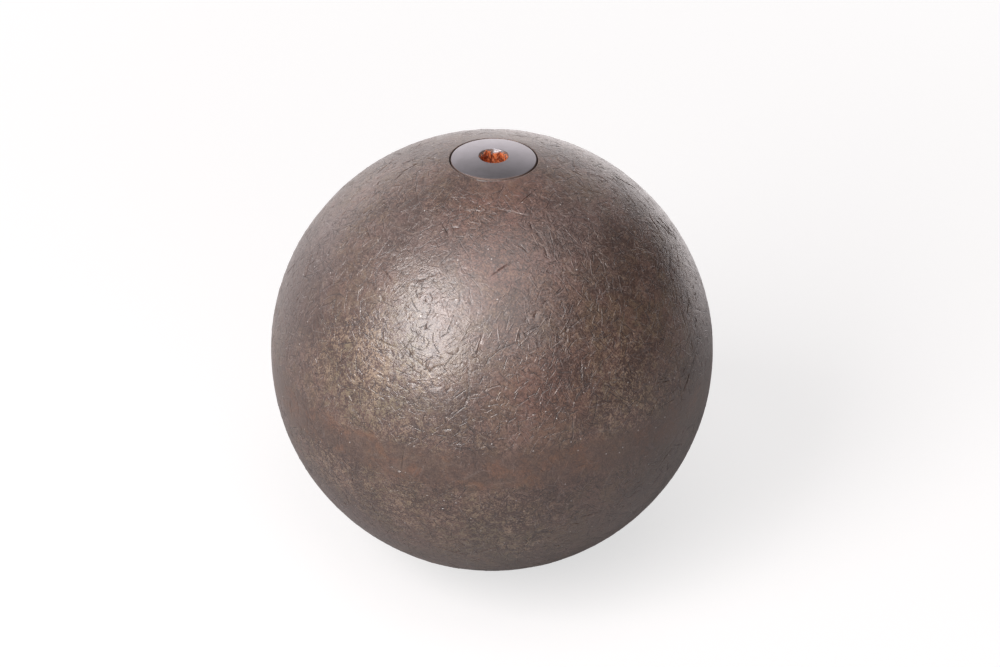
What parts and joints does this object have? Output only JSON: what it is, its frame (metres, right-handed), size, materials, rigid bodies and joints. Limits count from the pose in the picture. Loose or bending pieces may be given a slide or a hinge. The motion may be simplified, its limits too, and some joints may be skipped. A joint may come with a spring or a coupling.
{
  "type": "throwing weight",
  "caption": "Hollow steel throwing ball with a smooth belt round its middle and a flush domed screw plug, turned by a hexagonal key, over its trimming chamber.",
  "frame": {"origin": "centre of the ball", "axes": "+Z out through the middle of the screw plug, -Y out through the marked side that faces the camera, +X to the right as the picture shows it"},
  "size_m": [0.11, 0.11, 0.1099],
  "materials": {
    "patinated_steel": "rough forged skin with fine raised and sunken hairs, brown patina, satin where worn, smooth on the belt",
    "plug_steel": "satin grey-brown steel with rust in the socket",
    "bright_steel": "drawn tube, dull",
    "cast_filler": "cast resin, dull",
    "lead": "soft grey metal, dull",
    "pad_rubber": "black, dull",
    "copper": "soft annealed copper"
  },
  "bodies": {
    "ball": {"upper_half_shell": "patinated_steel", "lower_half_shell": "patinated_steel", "equator_weld": "patinated_steel", "filler_core": "cast_filler", "chamber_sleeve": "bright_steel", "trim_disc_1": "lead", "trim_disc_2": "lead", "trim_disc_3": "lead", "trim_disc_4": "lead", "packing_pad": "pad_rubber"},
    "washer": {"sealing_washer": "copper"},
    "plug": {"closing_plug": "plug_steel"}
  },
  "joints": [
    {"name": "plug_lift", "type": "slide", "parent": "ball", "child": "washer", "axis": [0, 0, 1], "range_m": [0, 0.00675]},
    {"name": "plug_turn", "type": "hinge", "parent": "washer", "child": "plug", "pos_m": [0, 0, 0.0512], "axis": [0, 0, 1], "range_deg": [0, 1620]}
  ],
  "couplings": [
    {"joint": "plug_lift", "follows": "plug_turn", "m_per_rad": 0.00023873}
  ]
}
